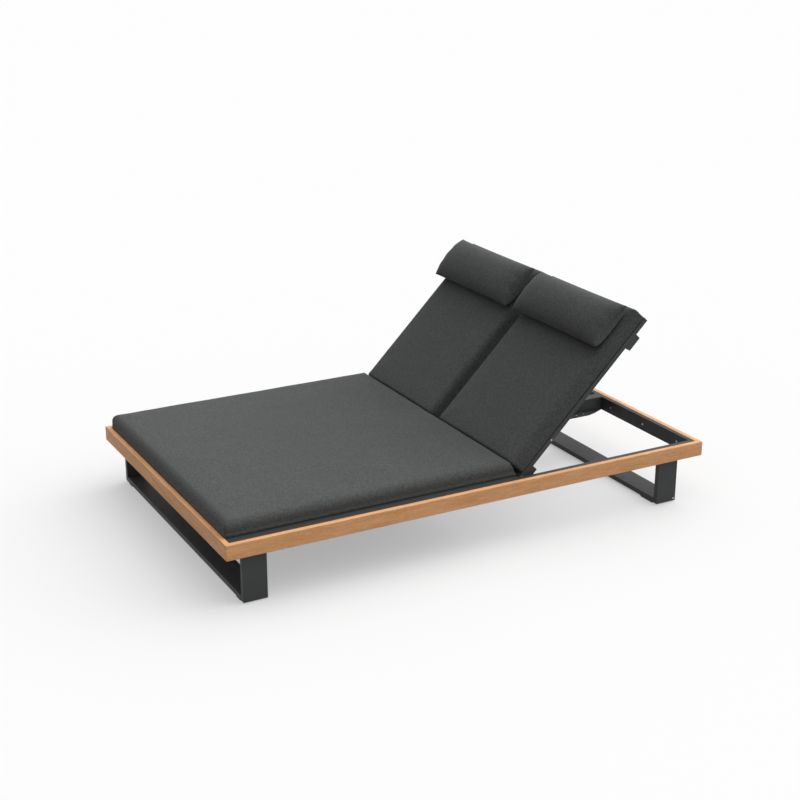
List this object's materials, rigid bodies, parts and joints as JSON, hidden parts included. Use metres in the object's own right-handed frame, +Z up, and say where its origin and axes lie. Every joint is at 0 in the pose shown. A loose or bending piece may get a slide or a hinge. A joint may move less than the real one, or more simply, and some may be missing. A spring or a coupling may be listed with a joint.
{
  "type": "double chaise lounger",
  "caption": "Low double lounger: teak-banded metal frame on sled legs, one wide seat cushion, and side-by-side padded backrests that recline separately on folding prop rods.",
  "frame": {"origin": "on the ground, at the middle of the footprint", "axes": "+Z up, +Y towards the head end, +X towards the left of a person who lies on it"},
  "size_m": [1.34, 2.104, 0.8771],
  "materials": {
    "teak": "matte",
    "frame_metal": "matte",
    "cushion_fabric": "matte",
    "strap_webbing": "matte",
    "stainless_steel": "satin",
    "glide_plastic": "matte",
    "pad_rubber": "matte",
    "bush_nylon": "matte"
  },
  "bodies": {
    "frame": {"centre_beam": "frame_metal", "foot_leg_left": "frame_metal", "foot_leg_right": "frame_metal", "foot_runner": "frame_metal", "glides": "glide_plastic", "head_leg_left": "frame_metal", "head_leg_right": "frame_metal", "head_runner": "frame_metal", "pivot_bolts": "stainless_steel", "pivot_cross_beam": "frame_metal", "pivot_spacers": "stainless_steel", "rack_left": "frame_metal", "rack_right": "frame_metal", "rail_foot": "frame_metal", "rail_head": "frame_metal", "rail_left": "frame_metal", "rail_right": "frame_metal", "rest_ledges": "frame_metal", "rest_pads": "pad_rubber", "seat_cushion": "cushion_fabric", "seat_joist": "frame_metal", "seat_side_bars": "frame_metal", "seat_slats": "frame_metal", "slat_ledges": "frame_metal", "sled_screws": "stainless_steel", "teak_foot": "teak", "teak_head": "teak", "teak_left": "teak", "teak_right": "teak", "trim_screws": "stainless_steel"},
    "left_back": {"left_back_cushion": "cushion_fabric", "left_back_inner_tube": "frame_metal", "left_back_lower_bar": "frame_metal", "left_back_outer_tube": "frame_metal", "left_back_screws": "stainless_steel", "left_back_slats": "frame_metal", "left_back_top_tube": "frame_metal", "left_back_upper_bar": "frame_metal", "left_head_pillow": "cushion_fabric", "left_pillow_strap": "strap_webbing", "left_pivot_bushes": "bush_nylon", "left_prop_lug": "frame_metal", "left_prop_pin": "stainless_steel"},
    "right_back": {"right_back_cushion": "cushion_fabric", "right_back_inner_tube": "frame_metal", "right_back_lower_bar": "frame_metal", "right_back_outer_tube": "frame_metal", "right_back_screws": "stainless_steel", "right_back_slats": "frame_metal", "right_back_top_tube": "frame_metal", "right_back_upper_bar": "frame_metal", "right_head_pillow": "cushion_fabric", "right_pillow_strap": "strap_webbing", "right_pivot_bushes": "bush_nylon", "right_prop_lug": "frame_metal", "right_prop_pin": "stainless_steel"},
    "left_prop": {"left_prop_rod": "stainless_steel"},
    "right_prop": {"right_prop_rod": "stainless_steel"}
  },
  "joints": [
    {"name": "left_recline", "type": "hinge", "parent": "frame", "child": "left_back", "pos_m": [0.325, 0.202, 0.244], "axis": [1, 0, 0], "range_deg": [-45, 0]},
    {"name": "left_prop_fold", "type": "hinge", "parent": "left_back", "child": "left_prop", "pos_m": [0.04, 0.43584, 0.42028], "axis": [1, 0, 0], "range_deg": [0, 76.8]},
    {"name": "right_recline", "type": "hinge", "parent": "frame", "child": "right_back", "pos_m": [-0.325, 0.202, 0.244], "axis": [1, 0, 0], "range_deg": [-45, 0]},
    {"name": "right_prop_fold", "type": "hinge", "parent": "right_back", "child": "right_prop", "pos_m": [-0.04, 0.43584, 0.42028], "axis": [1, 0, 0], "range_deg": [0, 76.8]}
  ],
  "couplings": [
    {"joint": "left_prop_fold", "follows": "left_recline", "ratio": -1.7043},
    {"joint": "right_prop_fold", "follows": "right_recline", "ratio": -1.7043}
  ]
}
